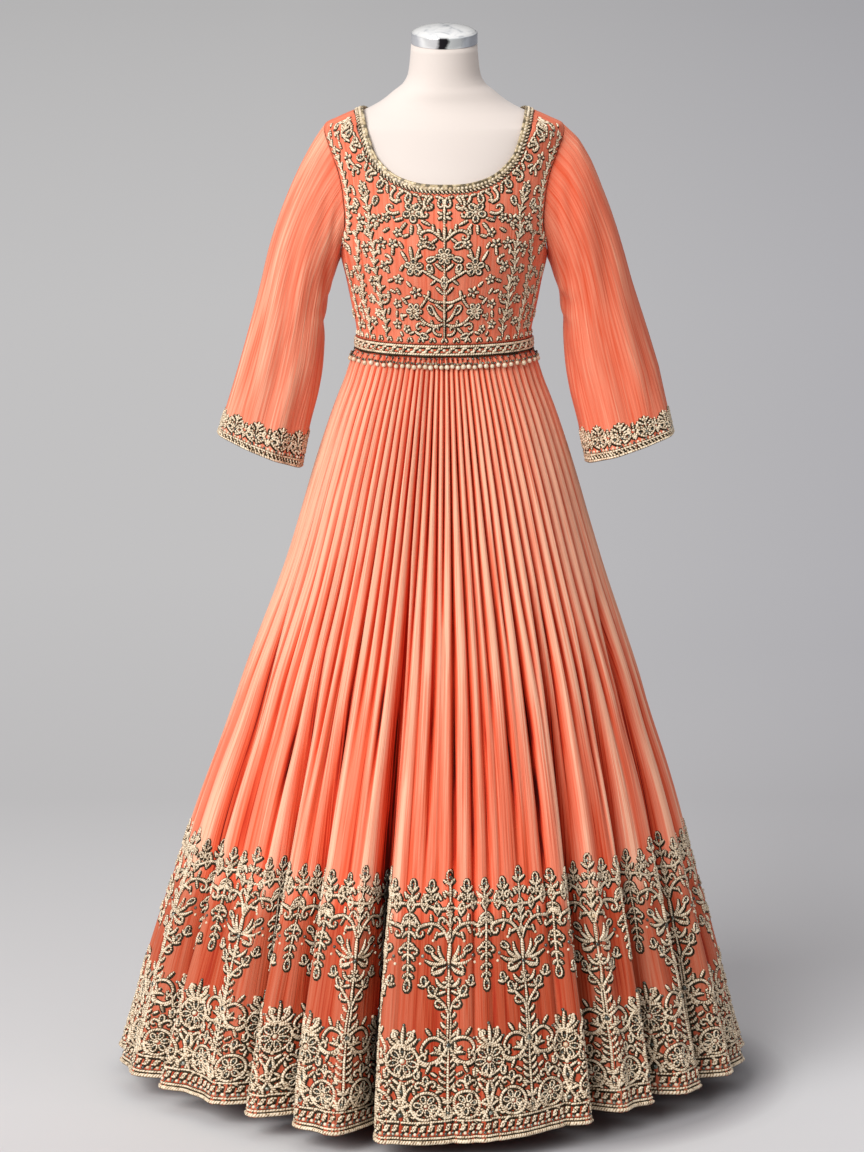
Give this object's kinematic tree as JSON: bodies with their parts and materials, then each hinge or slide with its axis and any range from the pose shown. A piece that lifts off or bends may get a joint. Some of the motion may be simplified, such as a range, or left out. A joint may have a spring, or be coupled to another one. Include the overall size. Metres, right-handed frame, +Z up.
{
  "type": "floor-length gathered kurta on a limbless dress form",
  "caption": "Floor-length kurta with scoop neck, three-quarter sleeves, embroidered bodice and hem and a finely pleated flared skirt, worn by a limbless dress form on a round base.",
  "frame": {"origin": "on the floor, at the centre of the stand's base", "axes": "+Z up, front of the garment faces -Y, the wearer's left is +X"},
  "size_m": [0.8904, 0.8546, 1.5152],
  "materials": {
    "coral_crepe": "fine crinkled crepe, soft sheen",
    "gold_trim": "couched gold cord and beads on cloth",
    "pearl_beads": "pearl beads",
    "form_cover": "smooth cream jersey cover",
    "chrome_cap": "polished",
    "stand_metal": "brushed",
    "embroidery_cord": "champagne gold couched cord",
    "embroidery_dark": "antique dark gold outline thread",
    "embroidery_stone": "small faceted stones and dark beads"
  },
  "bodies": {
    "root": {"bodice_front": "coral_crepe", "bodice_back": "coral_crepe", "neck_binding": "gold_trim", "waist_band": "gold_trim", "sleeve_left": "coral_crepe", "sleeve_right": "coral_crepe", "skirt_back_right": "coral_crepe", "skirt_front_right": "coral_crepe", "skirt_front_centre": "coral_crepe", "skirt_front_left": "coral_crepe", "skirt_back_left": "coral_crepe", "skirt_back_centre": "coral_crepe", "waist_bead_fringe": "pearl_beads", "form_torso": "form_cover", "neck_cap": "chrome_cap", "form_pole": "stand_metal", "form_base": "stand_metal"}
  },
  "joints": []
}
